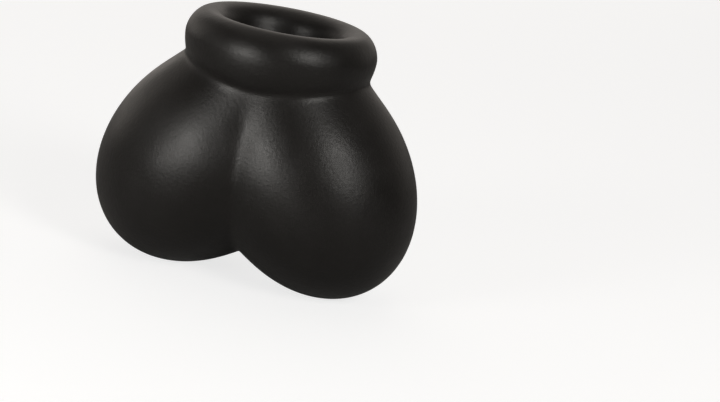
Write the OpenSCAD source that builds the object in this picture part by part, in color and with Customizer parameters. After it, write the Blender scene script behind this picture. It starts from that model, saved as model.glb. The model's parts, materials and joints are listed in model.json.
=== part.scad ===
// Hollow two-lobed pouch in soft silicone, moulded in one piece.
// A thick rolled collar surrounds the mouth, a short neck hangs under it, and two
// rounded lobes stand side by side with a groove between them. The nodes are the
// zones of that one moulding, divided at its own creases, and they meet face to face.
// Frame: +X across the two lobes, +Z up through the mouth, origin in the middle of
// the resting plane. All sizes are in millimetres.

/* [Lobes] */
// Radius of each lobe across its own long axis
lobe_r = 31.4; // [31:0.1:32]
// Half the length of each lobe along its own long axis
lobe_long_r = 41; // [40:0.1:42]
// Distance of a lobe's centre from the groove plane
lobe_x = 15.9; // [15.2:0.1:16.6]
// Lean of a lobe's long axis from upright towards the groove plane, in degrees
lobe_lean = 40; // [37:1:43]
// Depth that the resting plane trims off the bottom of each lobe
rest_trim = 0.6; // [0.2:0.1:1.2]
// Thickness of the silicone in the lobes
wall = 4.5; // [3.5:0.5:5.5]

/* [Collar] */
// Height of the collar's widest circle above the resting plane
collar_z = 74.6; // [74.2:0.1:75]
// Radius of the collar's crest circle
crest_r = 23.9; // [23.6:0.1:24.4]
// Radius of the mouth's straight band, where the roll is tightest
mouth_r = 17; // [16.5:0.1:17.5]
// Reach of the roll outwards from the crest circle
roll_out = 6; // [5.6:0.1:6.4]
// Height of the crest above the widest circle
roll_up = 7.8; // [7.4:0.1:8.4]
// Depth that the roll's outer outline would reach below the widest circle
roll_down = 11.5; // [11:0.1:12]
// Exponent of the roll's outer outline, where 2 is an ellipse and less is more pointed
roll_power = 1.8; // [1.7:0.05:2]
// Depth of the rounded lip, from the crest down to the mouth's straight band
lip_depth = 8.5; // [8:0.1:9.5]
// Exponent of the lip's outline, where 2 is an ellipse and more is squarer
lip_power = 2.3; // [2.1:0.05:2.5]

/* [Neck] */
// Depth of the plane where the neck meets the collar, below the widest circle
neck_drop = 10.5; // [10:0.1:10.6]
// Outside radius of the neck at its foot
neck_foot_r = 27.6; // [27:0.1:28]
// Length of the neck, most of which sinks between the lobes
neck_l = 22; // [20:0.5:23]
// Extra radius of the neck's inside over the mouth
neck_relief = 0.4; // [0.2:0.1:0.8]

/* [Hidden] */

silicone = [0.07, 0.07, 0.075];
roll_steps = 30;     // straight pieces down the lip, and half of those up the roll's outside
lobe_steps = 28;     // straight pieces in half of a lobe's outline
flare_steps = 10;    // straight pieces down the neck's outline
shown_fn = 96;       // segments that a revolved outline is displayed with
block = 200;         // side of a cutting block, larger than the whole moulding

lobe_half_h = norm([lobe_long_r * cos(lobe_lean), lobe_r * sin(lobe_lean)]);
lobe_z = lobe_half_h - rest_trim;
crest_z = collar_z + roll_up;
joint_z = collar_z - neck_drop;
joint_r = crest_r + roll_width(neck_drop / roll_down);
neck_in_r = mouth_r + neck_relief;
ceiling_z = joint_z - wall;

// Reach of the roll outside the crest circle, at a share of its height from the widest circle
function roll_width(share) = roll_out * pow(1 - pow(abs(share), roll_power), 1 / roll_power);

// The roll's outer outline, from the plane of the neck up to the crest
function roll_outer() =
    let (low = asin(neck_drop / roll_down))
    [for (i = [0 : 2 * roll_steps])
        let (share = sin(-low + (90 + low) * i / (2 * roll_steps)))
        [crest_r + roll_width(share), collar_z + share * (share < 0 ? roll_down : roll_up)]];

// The rounded lip, from the crest down to the mouth's straight band
function roll_lip() =
    [for (i = [1 : roll_steps])
        let (a = 90 * i / roll_steps)
        [crest_r - (crest_r - mouth_r) * pow(sin(a), 2 / lip_power),
         crest_z - lip_depth * (1 - pow(cos(a), 2 / lip_power))]];

// Outline of one side of an ellipse from its bottom end to its top end
function half_ellipse(across, along) =
    [for (i = [0 : lobe_steps])
        let (a = -90 + 180 * i / lobe_steps)
        [across * cos(a), along * sin(a)]];

// The neck's outer outline, curving out from the collar down to its foot
function neck_outer() =
    [for (i = [0 : flare_steps])
        let (t = i / flare_steps)
        [neck_foot_r - (neck_foot_r - joint_r) * pow(1 - t, 2), joint_z - neck_l * t]];

// One lobe as a solid, smaller by inset all over; side is 1 on the right, -1 on the left
module lobe_solid(side, inset) {
    translate([side * lobe_x, 0, lobe_z])
        rotate([0, -side * lobe_lean, 0])
            rotate_extrude($fn = shown_fn)
                polygon(half_ellipse(lobe_r - inset, lobe_long_r - inset));
}

// The hollow inside both lobes, under a ceiling that leaves the neck its full ring
module lobe_hollow() {
    intersection() {
        union() {
            lobe_solid(1, wall);
            lobe_solid(-1, wall);
        }
        translate([-block / 2, -block / 2, ceiling_z - block]) cube(block);
    }
}

// Everything within the outline of the neck and of the collar's outer side
module upper_plug() {
    rotate_extrude($fn = shown_fn)
        polygon(concat([[0, joint_z]], roll_outer(), [[0, crest_z]]));
    neck_plug();
}

// Everything within the outline of the neck
module neck_plug() {
    rotate_extrude($fn = shown_fn)
        polygon(concat(neck_outer(), [[0, joint_z - neck_l], [0, joint_z]]));
}

// The collar: a thick roll whose rounded lip runs down into the straight band of the mouth
module rolled_collar() {
    color(silicone)
        rotate_extrude($fn = shown_fn)
            polygon(concat(roll_outer(), roll_lip(), [[mouth_r, joint_z]]));
}

// The neck: a drawn-in band under the collar that sinks between the lobes
module neck_band() {
    color(silicone)
        difference() {
            neck_plug();
            translate([0, 0, joint_z - neck_l - 1])
                cylinder(h = neck_l + 2, r = neck_in_r, $fn = shown_fn);
            lobe_hollow();
        }
}

// One lobe: a round shell, open to the other lobe at the groove plane and to the neck above
module lobe(side) {
    color(silicone)
        difference() {
            intersection() {
                lobe_solid(side, 0);
                translate([side < 0 ? -block : 0, -block / 2, 0]) cube(block);
            }
            lobe_hollow();
            upper_plug();
        }
}

module left_lobe() lobe(-1);

module right_lobe() lobe(1);

rolled_collar();
neck_band();
left_lobe();
right_lobe();
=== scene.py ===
"""Looks for the soft two-lobed silicone sleeve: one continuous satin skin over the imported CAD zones.

The moulding is described by a few smoothly blended forms: two leaning ellipsoids for the lobes, a neck
core, a rolled collar and the hollow inside. Its outline is followed in vertical half planes round the
mouth's axis, and the outlines are joined into the skins of the collar, the neck and the two lobes.
Neighbouring pieces share their border points and normals, so the moulding reads as one, as the real
one does.
"""
import json
import math

import bpy
import numpy as np
from mathutils import Matrix, Vector


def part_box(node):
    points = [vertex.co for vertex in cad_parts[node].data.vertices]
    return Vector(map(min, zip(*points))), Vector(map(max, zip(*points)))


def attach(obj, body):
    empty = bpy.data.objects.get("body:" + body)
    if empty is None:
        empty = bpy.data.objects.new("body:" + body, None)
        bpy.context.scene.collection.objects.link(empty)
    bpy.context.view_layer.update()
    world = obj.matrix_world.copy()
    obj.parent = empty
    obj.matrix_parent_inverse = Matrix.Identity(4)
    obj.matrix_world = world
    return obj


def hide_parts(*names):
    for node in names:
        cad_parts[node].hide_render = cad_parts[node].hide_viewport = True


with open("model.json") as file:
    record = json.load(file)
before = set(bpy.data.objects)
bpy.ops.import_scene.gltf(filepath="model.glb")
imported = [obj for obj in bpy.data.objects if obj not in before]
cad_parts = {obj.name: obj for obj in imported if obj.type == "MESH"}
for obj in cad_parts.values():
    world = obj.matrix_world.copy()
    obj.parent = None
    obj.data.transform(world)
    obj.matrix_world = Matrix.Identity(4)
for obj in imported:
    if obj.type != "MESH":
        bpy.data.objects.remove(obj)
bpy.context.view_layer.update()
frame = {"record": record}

# ---------------------------------------------------------------- sizes, in metres
MM = 0.001
collar_lo, collar_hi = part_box("rolled_collar")
right_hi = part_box("right_lobe")[1]
mouth_r = next(m for m in frame["record"]["mounts"] if m["name"] == "mouth")["dims"]["r_mm"] * MM

# Collar: one superellipse outside its crest circle, and another for the lip inside it
ROLL_OUT = 6.0 * MM                     # reach of the roll outside its crest circle
ROLL_UP = 7.8 * MM                      # height of the crest over the collar's widest circle
ROLL_DOWN = 11.5 * MM                   # depth of the roll's outline under the widest circle
ROLL_POWER = 1.8                        # exponent of the outer outline: 2 is an ellipse
LIP_DEPTH = 8.5 * MM                    # from the crest down to where the mouth is tightest
LIP_POWER = 2.3                         # exponent of the lip's outline, squarer than an ellipse
roll_crest_r = collar_hi.x - ROLL_OUT
roll_z = collar_hi.z - ROLL_UP
roll_in = roll_crest_r - mouth_r
lip_z = collar_hi.z - LIP_DEPTH

# Lobes: an ellipsoid each, whose long axis leans towards the groove plane
LOBE_R = 31.35 * MM                     # a touch under the CAD's, so that the blends stay in its box
LOBE_LONG_R = 41.0 * MM                 # half the length along the long axis
LOBE_LEAN = math.radians(40.0)          # lean of the long axis from upright
REST_TRIM = 0.6 * MM                    # depth that the resting plane takes off each lobe
lobe_half_w = math.hypot(LOBE_R * math.cos(LOBE_LEAN), LOBE_LONG_R * math.sin(LOBE_LEAN))
lobe_half_h = math.hypot(LOBE_LONG_R * math.cos(LOBE_LEAN), LOBE_R * math.sin(LOBE_LEAN))
lobe_centre = np.array([right_hi.x - lobe_half_w, 0.0, lobe_half_h - REST_TRIM])

# Neck core and wall
CORE_R = 23.9 * MM
CORE_FOOT_Z = 40.7 * MM                 # where the core's straight side ends in half a ball
WALL = 4.5 * MM
NECK_RELIEF = 0.4 * MM                  # how much wider the bore is under the mouth
BORE_FOOT_Z = 50.0 * MM                 # where the straight bore ends inside the hollow
NECK_CUT_Z = 60.5 * MM                  # height where the neck's skin hands over to the lobes
ceiling_z = collar_lo.z - WALL          # top of the hollow inside the lobes

# Blends: how far from the edge between two forms their fillet starts
BLEND_GROOVE = 2.3 * MM                 # between the lobes
BLEND_NECK = 15.0 * MM                  # between the lobes and the neck
BLEND_CREASE = 2.1 * MM                 # between the neck and the collar
BLEND_LIP = 2.0 * MM                    # round the hollow's ceiling and where neck and bore meet
BLEND_HOLLOW = 7.0 * MM                 # between the bore and the hollow
BLEND_REST = 1.2 * MM                   # round the flats that it stands on

# Fineness of the skin
QUARTER_COLUMNS = 64                    # columns in a quarter turn
GROOVE_CROWDING = 0.7                   # 0 spaces the columns evenly, 1 crowds them at the groove
CLIMB_ROUNDS = 60                       # steps that may take a point from the origin up to the underside
MARCH_STEP = 0.3 * MM                   # length of each step along an outline
MARCH_LIMIT = 1500                      # steps, well over the longest outline
SLOPE_STEP = 0.02 * MM                  # reach of the differences that measure the slope
LEAST_SLOPE = 0.001                     # a flatter slope counts as this much
WELD = 0.001 * MM                       # points that round to the same multiple of this are one
TINY = 1e-12                            # keeps divisors away from zero

# Rows of the skin, from the outer foot over the crest and down to the inner foot
LOBE_ROWS = 110
NECK_ROWS = 24
ROLL_OUTER_ROWS = 64
ROLL_INNER_ROWS = 48
ROWS = [LOBE_ROWS, NECK_ROWS, ROLL_OUTER_ROWS, ROLL_INNER_ROWS, NECK_ROWS, LOBE_ROWS]
NECK_OUT = LOBE_ROWS                                # where the neck's outer skin starts
CREASE = NECK_OUT + NECK_ROWS                       # under the collar
JOINT = CREASE + ROLL_OUTER_ROWS + ROLL_INNER_ROWS  # inside the mouth, at the collar's foot
NECK_IN = JOINT + NECK_ROWS                         # where the neck's inner skin ends

# Silicone
ROUGHNESS = 0.40
SILICONE_IOR = 1.41
SHEEN = 0.02
SHEEN_ROUGHNESS = 0.4
BLACK_DEEP = (0.0088, 0.0078, 0.0072, 1)
BLACK_DUSTY = (0.0140, 0.0127, 0.0119, 1)

# Silicone's noises: their scale per metre, and how far they raise the surface
CLOUD_SCALE = 70.0                      # patches of duller and dustier skin
WAVE_SCALE = 160.0
WAVE_HEIGHT = 0.04 * MM
MOTTLE_SCALE = 900.0
MOTTLE_HEIGHT = 0.07 * MM
GRAIN_SCALE = 2600.0
GRAIN_HEIGHT = 0.005 * MM
RUB_SCALE = 140.0                       # handling marks, before they are drawn out into streaks
RUB_TURN = (0.3, 0.9, 0.5)              # radians
RUB_STRETCH = (1.0, 1.0, 7.0)
RUB_RANGE = (0.58, 0.74)                # noise values where a mark starts and where it is full
NOISE_RANGE = (0.3, 0.7)                # values that most of a noise lies between

# Silicone's gloss and dust: what the noises change
CLOUD_GLOSS = 0.05                      # roughness either way
GRAIN_GLOSS = 0.02                      # roughness either way
RUB_GLOSS = 0.05                        # roughness that a full mark adds
CLOUD_DUST = (0.1, 0.6)                 # share of the dusty black, from the least to the most
RUB_DUST = 0.4                          # share that a full mark adds

# Floor of pale paper
PAPER = 0.4                             # share of the light that the paper gives back
PAPER_LIFT = 0.75                       # light added where the camera sees the paper
FLOOR_REACH = 6.0
FLOOR_RINGS = 24
FLOOR_SPOKES = 96

# Camera, as it stands round the sleeve in the photograph
VIEW_AZIMUTH = 10.9                     # degrees round the mouth's axis, 0 looks along +Y
VIEW_ELEVATION = 14.5                   # degrees above the horizon
VIEW_ROLL = 10.9                        # degrees that the camera leans
VIEW_DISTANCE = 0.635
LENS = 100.0                            # focal length in millimetres
SENSOR = 36.0                           # sensor width in millimetres
VIEW_NEAR = 0.01                        # nearest and farthest that the camera sees
VIEW_FAR = 50.0
AIM_RIGHT = 37.8 * MM                   # how far the camera aims to the right of the sleeve
AIM_UP = 22.8 * MM                      # and above its foot, both in the picture's own plane

# Studio lights: degrees right of and above the camera's axis, distance, width and height, watts
LIGHTS = {
    "left_main": (-37.3, 6.0, 0.9, 0.25, 0.40, 2.9),
    "left_card": (-37.3, -8.0, 0.3, 0.14, 0.05, 0.14),
    "left_side": (-75.0, 20.0, 0.9, 0.40, 0.50, 0.2),
    "left_back": (-110.0, 30.0, 0.9, 0.40, 0.50, 0.3),
    "right_main": (38.5, 8.0, 0.9, 0.25, 0.45, 2.1),
    "right_high": (38.0, 14.0, 0.9, 0.25, 0.45, 1.2),
    "top": (5.0, 75.0, 1.1, 0.90, 0.90, 1.0),
    "back_high": (180.0, 55.0, 1.1, 1.00, 1.00, 1.5),
    "back_low": (180.0, 25.0, 1.1, 1.00, 0.50, 0.4),
    "back_left": (-140.0, 22.0, 1.1, 0.80, 0.50, 0.6),
    "back_right": (140.0, 22.0, 1.1, 0.80, 0.50, 0.2),
}
KEY_WARMTH = (1.0, 0.98, 0.94)          # tint of the lights in front of the sleeve
RIM_WARMTH = (1.0, 0.93, 0.86)          # tint of what lights it from above and behind
KEY_AZIMUTH = 90.0                      # degrees to either side that still count as in front
KEY_ELEVATION = 60.0                    # degrees up that still count as in front
BACKDROP = 0.26                         # brightness of the white backdrop behind the sleeve
BACKDROP_FADE = (-0.1, 0.6)             # forward share of a direction where it starts and is full


# ---------------------------------------------------------------- the moulding's form
def blend_union(a, b, k):
    """Union of two distance fields with a fillet of about k, smooth in its curvature too."""
    h = np.maximum(k - np.abs(a - b), 0) / k
    return np.minimum(a, b) - h ** 3 * k / 6


def blend_cut(a, b, k):
    """Intersection of two distance fields with a rounded edge of about k."""
    return -blend_union(-a, -b, k)


def lobe_field(p, side):
    """Distance to one lobe's ellipsoid; side is 1 on the right and -1 on the left."""
    x = p[..., 0] * side - lobe_centre[0]
    z = p[..., 2] - lobe_centre[2]
    across = x * math.cos(LOBE_LEAN) + z * math.sin(LOBE_LEAN)
    along = z * math.cos(LOBE_LEAN) - x * math.sin(LOBE_LEAN)
    q = np.stack([across / LOBE_R, p[..., 1] / LOBE_R, along / LOBE_LONG_R], -1)
    reach = np.linalg.norm(q, axis=-1)
    slant = np.linalg.norm(q / np.array([LOBE_R, LOBE_R, LOBE_LONG_R]), axis=-1)
    return reach * (reach - 1) / np.maximum(slant, TINY)


def quarter_outline(x, z, reach, up, down, power):
    """Signed measure of a superellipse quarter pair: reach wide, up above z = 0 and down below it."""
    tall = np.where(z > 0, up, down)
    u = np.maximum(x / reach, 0) ** power + np.abs(z / tall) ** power
    return (np.maximum(u, TINY) ** (1 / power) - 1) * reach


def roll_field(p):
    """The rolled collar: its outer outline outside the crest circle and its lip inside it."""
    x = np.hypot(p[..., 0], p[..., 1]) - roll_crest_r
    z = p[..., 2]
    outer = quarter_outline(x, z - roll_z, ROLL_OUT, ROLL_UP, ROLL_DOWN, ROLL_POWER)
    lip = quarter_outline(-x, z - lip_z, roll_in, LIP_DEPTH, lip_z - (roll_z - ROLL_DOWN), LIP_POWER)
    return np.where(x > 0, outer, lip)


def pouch_field(p):
    """The lobes and the neck, without the collar and still solid."""
    lobes = blend_union(lobe_field(p, 1), lobe_field(p, -1), BLEND_GROOVE)
    rho = np.hypot(p[..., 0], p[..., 1])
    below = np.hypot(rho, np.minimum(p[..., 2] - CORE_FOOT_Z, 0)) - CORE_R
    core = np.maximum(below, p[..., 2] - lip_z)
    return blend_union(lobes, core, BLEND_NECK)


def hollow_field(p, pouch):
    """The hollow inside the lobes, with the bore up through the neck."""
    rho = np.hypot(p[..., 0], p[..., 1])
    bore = np.maximum(rho - mouth_r - NECK_RELIEF, BORE_FOOT_Z - p[..., 2])
    inside = blend_cut(pouch + WALL, p[..., 2] - ceiling_z, BLEND_LIP)
    return blend_union(inside, bore, BLEND_HOLLOW)


def moulding(p):
    """The whole moulding: negative in the silicone, positive outside it."""
    pouch = pouch_field(p)
    wall = blend_cut(pouch, -hollow_field(p, pouch), BLEND_LIP)
    solid = blend_union(wall, roll_field(p), BLEND_CREASE)
    return blend_cut(solid, -p[..., 2], BLEND_REST)


# ---------------------------------------------------------------- following its outline
def slope(p):
    """Gradient of the moulding's field, by central differences."""
    steps = np.eye(3) * SLOPE_STEP
    return np.stack([(moulding(p + s) - moulding(p - s)) / (2 * SLOPE_STEP) for s in steps], -1)


def step_to_surface(p, g):
    """The step along gradient g that takes points onto the surface, as far as the field is straight."""
    return -g * (moulding(p) / np.maximum((g * g).sum(-1), LEAST_SLOPE ** 2))[..., None]


def settle(p, rounds=2):
    """Moves points along the field's slope onto the surface."""
    for _ in range(rounds):
        p = p + step_to_surface(p, slope(p))
    return p


def follow_outlines(azimuths):
    """Marches each vertical half plane's outline from the outer foot, over the crest, to the inner foot.

    Returns points as (step, azimuth, [distance from the axis, height]).
    """
    out = np.stack([np.cos(azimuths), np.sin(azimuths), np.zeros_like(azimuths)], -1)
    up = np.array([0.0, 0.0, 1.0])

    def land(q):
        """Puts plane points on the outline and returns them with their unit normals."""
        for _ in range(2):
            p = out * q[:, :1] + up * q[:, 1:]
            g3 = slope(p)
            g = np.stack([(g3 * out).sum(-1), g3[:, 2]], -1)
            q = q + step_to_surface(p, g)
        return q, g / np.linalg.norm(g, axis=1, keepdims=True)

    q = np.zeros((len(azimuths), 2))
    for _ in range(CLIMB_ROUNDS):
        q[:, 1] += np.clip(moulding(out * q[:, :1] + up * q[:, 1:]), 0, MM)
    q, normal = land(q)
    path = [q]
    past_crest = np.zeros(len(azimuths), bool)
    while len(path) < MARCH_LIMIT:
        tangent = np.stack([-normal[:, 1], normal[:, 0]], -1)
        q, normal = land(q + tangent * MARCH_STEP)
        path.append(q)
        past_crest |= q[:, 1] > roll_z
        if past_crest.all() and (q[:, 0] < -2 * MARCH_STEP).all():
            break
    return np.array(path)


def even_points(line, a, b, count):
    """count + 1 points at even spacing along a polyline between two fractional indices."""
    whole = np.arange(math.floor(a) + 1, math.ceil(b))
    stops = np.concatenate([[a], whole, [b]])
    index = np.arange(len(line))
    pts = np.stack([np.interp(stops, index, line[:, k]) for k in (0, 1)], -1)
    run = np.concatenate([[0], np.cumsum(np.linalg.norm(np.diff(pts, axis=0), axis=1))])
    want = np.linspace(0, run[-1], count + 1)
    return np.stack([np.interp(want, run, pts[:, k]) for k in (0, 1)], -1)


def crossing(values, level, start):
    """Fractional index where values cross level, from start on."""
    beyond = (values[start:] - level) * np.sign(values[start] - level) <= 0
    i = start + int(np.argmax(beyond))
    return i - 1 + (values[i - 1] - level) / (values[i - 1] - values[i])


def rows_of(line, azimuth):
    """The outline of one half plane as the rows of every skin, foot to foot."""
    rho = line[:, 0]
    z = line[:, 1]
    p = np.stack([rho * math.cos(azimuth), rho * math.sin(azimuth), z], -1)
    crest = int(np.argmax(np.where(rho > 0, z, 0)))
    widest = int(np.argmax(rho[:crest] * (z[:crest] < NECK_CUT_Z)))
    neck_out = crossing(z, NECK_CUT_Z, widest)
    gap = roll_field(p) - pouch_field(p)
    crease = crossing(gap, 0.0, math.ceil(neck_out))
    joint = crossing(z, collar_lo.z, crest)
    neck_in = crossing(z, NECK_CUT_Z, math.ceil(joint))
    foot = crossing(rho, 0.0, math.ceil(neck_in))
    stops = [0.0, neck_out, crease, float(crest), joint, neck_in, foot]
    parts = [even_points(line, a, b, n) for a, b, n in zip(stops, stops[1:], ROWS)]
    return np.concatenate([parts[0]] + [part[1:] for part in parts[1:]])


def quarter_turn():
    """Points and normals of the moulding over a quarter turn, from across the lobes to the groove."""
    u = np.linspace(0, 1, QUARTER_COLUMNS + 1)
    azimuths = (math.pi / 2) * ((1 - GROOVE_CROWDING) * u + GROOVE_CROWDING * np.sin(u * math.pi / 2))
    path = follow_outlines(azimuths)
    columns = []
    for i, a in enumerate(azimuths):
        row = rows_of(path[:, i], a)
        columns.append(np.stack([row[:, 0] * math.cos(a), row[:, 0] * math.sin(a), row[:, 1]], -1))
    p = settle(np.array(columns))
    p[-1, :, 0] = 0                     # the last column lies in the groove plane
    p[0, :, 1] = 0                      # the first one in the plane across the lobes
    p[:, 0, :2] = 0                     # the feet lie on the axis
    p[:, -1, :2] = 0
    p[:, 0, 2] = p[:, 0, 2].mean()
    p[:, -1, 2] = p[:, -1, 2].mean()
    n = slope(p)
    n[-1, :, 0] = 0
    n[0, :, 1] = 0
    n[:, 0] = (0, 0, -1)
    n[:, -1] = (0, 0, 1)
    return p, n / np.linalg.norm(n, axis=-1, keepdims=True)


# ---------------------------------------------------------------- skins as closed meshes
class Shell:
    """Collects the points, faces and corner normals of one closed piece."""

    def __init__(self):
        self.points = []
        self.faces = []
        self.normals = []
        self.known = {}

    def point(self, p):
        """Number of a point, which is added if no other lies there."""
        key = tuple(np.round(np.asarray(p) / WELD).astype(int))
        if key not in self.known:
            self.known[key] = len(self.points)
            self.points.append(tuple(float(v) for v in p))
        return self.known[key]

    def face(self, corners, normals=None):
        """Adds a face, dropping corners that coincide; without normals it is flat."""
        ids = []
        kept = []
        for c, p in enumerate(corners):
            i = self.point(p)
            if i not in ids:
                ids.append(i)
                kept.append(c)
        if len(ids) < 3:
            return
        if normals is None:
            a, b, c = (np.array(self.points[ids[k]]) for k in (0, 1, 2))
            flat = np.cross(b - a, c - a)
            flat = flat / max(np.linalg.norm(flat), TINY)
            corner_normals = [flat] * len(ids)
        else:
            corner_normals = [normals[c] for c in kept]
        self.faces.append(ids)
        self.normals.extend(tuple(float(v) for v in n) for n in corner_normals)

    def skin(self, p, n):
        """Adds a grid of smooth quads; columns run round the axis, rows from the outer foot inwards."""
        for i in range(len(p) - 1):
            for j in range(p.shape[1] - 1):
                ring = [(i, j), (i + 1, j), (i + 1, j + 1), (i, j + 1)]
                self.face([p[k] for k in ring], [n[k] for k in ring])

    def strip(self, a, b):
        """Adds a flat band between two rows of points."""
        for i in range(len(a) - 1):
            self.face([a[i], a[i + 1], b[i + 1], b[i]])

    def build(self, name):
        """Makes the Blender object, which shades with the normals collected here."""
        mesh = bpy.data.meshes.new(name)
        mesh.from_pydata(self.points, [], self.faces)
        mesh.validate()
        mesh.shade_smooth()
        mesh.normals_split_custom_set(self.normals)
        piece = bpy.data.objects.new(name, mesh)
        bpy.context.scene.collection.objects.link(piece)
        return piece


def mirrored(grid, axis):
    """A grid of points or normals mirrored along one axis, columns kept running the same way round."""
    flip = np.ones(3)
    flip[axis] = -1
    return (grid * flip)[::-1]


def half_turn(quarter):
    """The right lobe's half, from the groove in front round to the groove behind."""
    return np.concatenate([mirrored(quarter, 1), quarter[1:]])


def lobe_shell(name, p, n):
    """One lobe: outer skin, hollow skin, the cut at the neck and the cut in the groove plane."""
    shell = Shell()
    shell.skin(p[:, :NECK_OUT + 1], n[:, :NECK_OUT + 1])
    shell.strip(p[:, NECK_OUT], p[:, NECK_IN])
    shell.skin(p[:, NECK_IN:], n[:, NECK_IN:])
    front = p[0]
    behind = p[-1]
    for j in range(LOBE_ROWS):
        shell.face([front[j], front[j + 1], front[-j - 2], front[-j - 1]])
        shell.face([behind[j + 1], behind[j], behind[-j - 1], behind[-j - 2]])
    return shell.build(name)


def neck_shell(name, p, n):
    """The neck: a short band between the lobes' skins and the collar."""
    shell = Shell()
    shell.skin(p[:, NECK_OUT:CREASE + 1], n[:, NECK_OUT:CREASE + 1])
    shell.strip(p[:, CREASE], p[:, JOINT])
    shell.skin(p[:, JOINT:NECK_IN + 1], n[:, JOINT:NECK_IN + 1])
    shell.strip(p[:, NECK_IN], p[:, NECK_OUT])
    return shell.build(name)


def collar_shell(name, p, n):
    """The rolled collar, from the crease over the crest and down into the mouth."""
    shell = Shell()
    shell.skin(p[:, CREASE:JOINT + 1], n[:, CREASE:JOINT + 1])
    shell.strip(p[:, JOINT], p[:, CREASE])
    return shell.build(name)


# ---------------------------------------------------------------- materials
def node_tree(owner):
    """The emptied node tree of a material or a world."""
    owner.use_nodes = True
    tree = owner.node_tree
    tree.nodes.clear()
    return tree


def add_node(tree, kind, **inputs):
    """A node with some of its sockets set; an underscore in a socket's name stands for a space."""
    node = tree.nodes.new(kind)
    for name, value in inputs.items():
        node.inputs[name.replace("_", " ")].default_value = value
    return node


def noise(tree, place, scale, detail=3.0, roughness=0.55):
    """Soft random values between 0 and 1 over the places given."""
    node = add_node(tree, "ShaderNodeTexNoise", Scale=scale, Detail=detail, Roughness=roughness)
    tree.links.new(place, node.inputs["Vector"])
    return node.outputs["Fac"]


def remap(tree, value, old, new):
    """A value moved from its old range to a new one, and kept within it."""
    node = tree.nodes.new("ShaderNodeMapRange")
    for name, v in zip(("From Min", "From Max", "To Min", "To Max"), (*old, *new)):
        node.inputs[name].default_value = v
    tree.links.new(value, node.inputs["Value"])
    return node.outputs["Result"]


def combine(tree, operation, a, b):
    """Result of a calculation on two values, each a number or another node's output."""
    node = tree.nodes.new("ShaderNodeMath")
    node.operation = operation
    for socket, v in zip(node.inputs, (a, b)):
        if isinstance(v, (int, float)):
            socket.default_value = v
        else:
            tree.links.new(v, socket)
    return node.outputs[0]


def bumped(tree, height, distance, under=None):
    """A normal that follows a relief of some distance, laid over the relief under it."""
    node = add_node(tree, "ShaderNodeBump", Strength=1.0, Distance=distance)
    tree.links.new(height, node.inputs["Height"])
    if under is not None:
        tree.links.new(under, node.inputs["Normal"])
    return node.outputs["Normal"]


def satin_silicone():
    """Satin black silicone: cloudy gloss, soft waves, mottling, a fine grain and faint handling marks."""
    material = bpy.data.materials.new("satin_black_silicone")
    tree = node_tree(material)
    place = tree.nodes.new("ShaderNodeTexCoord").outputs["Object"]

    stretch = tree.nodes.new("ShaderNodeMapping")
    stretch.inputs["Rotation"].default_value = RUB_TURN
    stretch.inputs["Scale"].default_value = RUB_STRETCH
    tree.links.new(place, stretch.inputs["Vector"])

    clouds = noise(tree, place, CLOUD_SCALE, detail=4.0)
    waves = noise(tree, place, WAVE_SCALE, detail=2.0)
    mottle = noise(tree, place, MOTTLE_SCALE, roughness=0.6)
    grain = noise(tree, place, GRAIN_SCALE, detail=2.0)
    rubbed = noise(tree, stretch.outputs["Vector"], RUB_SCALE, detail=5.0, roughness=0.7)
    marks = remap(tree, rubbed, RUB_RANGE, (0.0, 1.0))

    gloss = remap(tree, clouds, NOISE_RANGE, (ROUGHNESS - CLOUD_GLOSS, ROUGHNESS + CLOUD_GLOSS))
    specks = remap(tree, grain, NOISE_RANGE, (-GRAIN_GLOSS, GRAIN_GLOSS))
    gloss = combine(tree, "ADD", gloss, specks)
    gloss = combine(tree, "ADD", gloss, combine(tree, "MULTIPLY", marks, RUB_GLOSS))

    tint = tree.nodes.new("ShaderNodeMix")
    tint.data_type = "RGBA"
    tint.inputs["A"].default_value = BLACK_DEEP
    tint.inputs["B"].default_value = BLACK_DUSTY
    dust = remap(tree, clouds, NOISE_RANGE, CLOUD_DUST)
    dust = combine(tree, "ADD", dust, combine(tree, "MULTIPLY", marks, RUB_DUST))
    tree.links.new(dust, tint.inputs["Factor"])

    normal = bumped(tree, waves, WAVE_HEIGHT)
    normal = bumped(tree, mottle, MOTTLE_HEIGHT, under=normal)
    normal = bumped(tree, grain, GRAIN_HEIGHT, under=normal)

    skin = tree.nodes.new("ShaderNodeBsdfPrincipled")
    skin.inputs["IOR"].default_value = SILICONE_IOR
    skin.inputs["Sheen Weight"].default_value = SHEEN
    skin.inputs["Sheen Roughness"].default_value = SHEEN_ROUGHNESS
    tree.links.new(tint.outputs["Result"], skin.inputs["Base Color"])
    tree.links.new(gloss, skin.inputs["Roughness"])
    tree.links.new(normal, skin.inputs["Normal"])
    out = tree.nodes.new("ShaderNodeOutputMaterial")
    tree.links.new(skin.outputs["BSDF"], out.inputs["Surface"])
    return material


def studio_paper():
    """Plain pale paper for the floor, lifted where the camera sees it, as overexposed paper is."""
    material = bpy.data.materials.new("studio_paper")
    tree = node_tree(material)
    paper = add_node(tree, "ShaderNodeBsdfDiffuse", Color=(PAPER, PAPER, PAPER, 1))
    lift = tree.nodes.new("ShaderNodeEmission")
    seen = tree.nodes.new("ShaderNodeLightPath").outputs["Is Camera Ray"]
    tree.links.new(combine(tree, "MULTIPLY", seen, PAPER_LIFT), lift.inputs["Strength"])
    both = tree.nodes.new("ShaderNodeAddShader")
    tree.links.new(paper.outputs[0], both.inputs[0])
    tree.links.new(lift.outputs[0], both.inputs[1])
    out = tree.nodes.new("ShaderNodeOutputMaterial")
    tree.links.new(both.outputs[0], out.inputs["Surface"])
    return material


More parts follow.
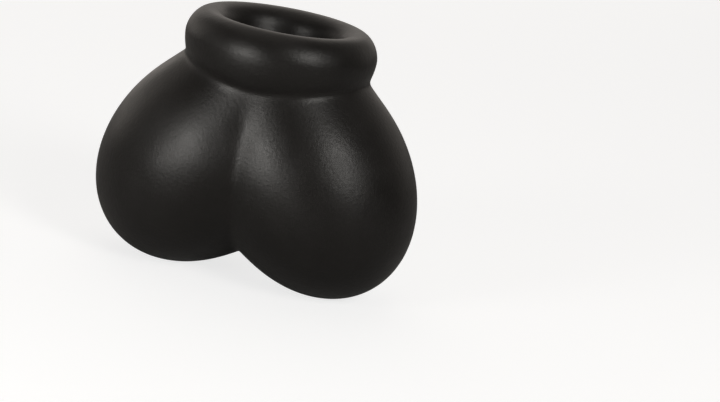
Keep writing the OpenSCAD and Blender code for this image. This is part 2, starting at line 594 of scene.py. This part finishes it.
# ---------------------------------------------------------------- studio
def camera_axes():
    """Unit vectors to the picture's right, to its top, and from the sleeve back to the camera."""
    a, e, r = (math.radians(v) for v in (VIEW_AZIMUTH, VIEW_ELEVATION, VIEW_ROLL))
    back = Vector((math.sin(a) * math.cos(e), -math.cos(a) * math.cos(e), math.sin(e)))
    level = Vector((math.cos(a), math.sin(a), 0))
    upright = back.cross(level)
    right = level * math.cos(r) + upright * math.sin(r)
    up = upright * math.cos(r) - level * math.sin(r)
    return right, up, back


def make_camera():
    """The camera at the photograph's viewpoint, rolled and aimed as it was."""
    right, up, back = camera_axes()
    data = bpy.data.cameras.new("camera")
    data.lens = LENS
    data.sensor_width = SENSOR
    data.clip_start = VIEW_NEAR
    data.clip_end = VIEW_FAR
    camera = bpy.data.objects.new("camera", data)
    spot = back * VIEW_DISTANCE + right * AIM_RIGHT + up * AIM_UP
    turn = Matrix((right, up, back)).transposed()
    camera.matrix_world = Matrix.Translation(spot) @ turn.to_4x4()
    bpy.context.scene.collection.objects.link(camera)
    bpy.context.scene.camera = camera


def make_lights(centre):
    """Softboxes placed by their angle from the camera's axis, each facing the sleeve."""
    right, up, back = camera_axes()
    for name, (azimuth, elevation, distance, width, height, watts) in LIGHTS.items():
        a = math.radians(azimuth)
        e = math.radians(elevation)
        towards = (back * math.cos(a) + right * math.sin(a)) * math.cos(e) + up * math.sin(e)
        in_front = abs(azimuth) < KEY_AZIMUTH and elevation < KEY_ELEVATION
        data = bpy.data.lights.new(name, "AREA")
        data.shape = "RECTANGLE"
        data.size = width
        data.size_y = height
        data.energy = watts
        data.color = KEY_WARMTH if in_front else RIM_WARMTH
        light = bpy.data.objects.new(name, data)
        light.location = centre + towards * distance
        light.rotation_euler = towards.to_track_quat("Z", "Y").to_euler()
        bpy.context.scene.collection.objects.link(light)


def make_world():
    """A backdrop behind the sleeve that fades to a dark room, and that the camera sees as pure white."""
    world = bpy.data.worlds.new("studio")
    bpy.context.scene.world = world
    tree = node_tree(world)
    direction = tree.nodes.new("ShaderNodeTexCoord").outputs["Generated"]
    forward = tree.nodes.new("ShaderNodeVectorMath")
    forward.operation = "DOT_PRODUCT"
    tree.links.new(direction, forward.inputs[0])
    back = camera_axes()[2]
    forward.inputs[1].default_value = -Vector((back.x, back.y, 0)).normalized()
    strength = remap(tree, forward.outputs["Value"], BACKDROP_FADE, (0.0, BACKDROP))
    seen = tree.nodes.new("ShaderNodeLightPath").outputs["Is Camera Ray"]
    strength = combine(tree, "MAXIMUM", strength, seen)
    tint = tree.nodes.new("ShaderNodeMix")
    tint.data_type = "RGBA"
    tint.inputs["A"].default_value = RIM_WARMTH + (1,)
    tint.inputs["B"].default_value = (1, 1, 1, 1)
    tree.links.new(seen, tint.inputs["Factor"])
    sky = tree.nodes.new("ShaderNodeBackground")
    tree.links.new(tint.outputs["Result"], sky.inputs["Color"])
    tree.links.new(strength, sky.inputs["Strength"])
    out = tree.nodes.new("ShaderNodeOutputWorld")
    tree.links.new(sky.outputs[0], out.inputs["Surface"])


def make_floor():
    """A wide round sheet of paper under the sleeve, in rings that widen outwards."""
    turns = [2 * math.pi * s / FLOOR_SPOKES for s in range(FLOOR_SPOKES)]
    after = [(s + 1) % FLOOR_SPOKES for s in range(FLOOR_SPOKES)]
    points = [(0, 0, 0)]
    for i in range(1, FLOOR_RINGS + 1):
        r = FLOOR_REACH * (i / FLOOR_RINGS) ** 2
        points += [(r * math.cos(t), r * math.sin(t), 0) for t in turns]
    faces = [(0, 1 + s, 1 + s_next) for s, s_next in enumerate(after)]
    for i in range(FLOOR_RINGS - 1):
        a = 1 + i * FLOOR_SPOKES
        b = a + FLOOR_SPOKES
        faces += [(a + s, b + s, b + s_next, a + s_next) for s, s_next in enumerate(after)]
    mesh = bpy.data.meshes.new("paper_floor")
    mesh.from_pydata(points, [], faces)
    mesh.shade_smooth()
    floor = bpy.data.objects.new("paper_floor", mesh)
    floor.data.materials.append(studio_paper())
    bpy.context.scene.collection.objects.link(floor)


# ---------------------------------------------------------------- the sleeve
def make_sleeve():
    """The four skins, each in place of its CAD zone, and all on the one body."""
    quarter_p, quarter_n = quarter_turn()
    right_p = half_turn(quarter_p)
    right_n = half_turn(quarter_n)
    left_p = mirrored(right_p, 0)
    left_n = mirrored(right_n, 0)
    round_p = np.concatenate([right_p, left_p[1:]])
    round_n = np.concatenate([right_n, left_n[1:]])
    pieces = {
        "rolled_collar": collar_shell("rolled_collar_skin", round_p, round_n),
        "neck_band": neck_shell("neck_band_skin", round_p, round_n),
        "right_lobe": lobe_shell("right_lobe_skin", right_p, right_n),
        "left_lobe": lobe_shell("left_lobe_skin", left_p, left_n),
    }
    silicone = satin_silicone()
    for node, piece in pieces.items():
        piece.data.materials.append(silicone)
        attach(piece, "root")
        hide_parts(node)


make_camera()
make_world()
make_lights(Vector((0, 0, collar_hi.z / 2)))
make_floor()
make_sleeve()
bpy.context.scene.view_settings.view_transform = "Standard"
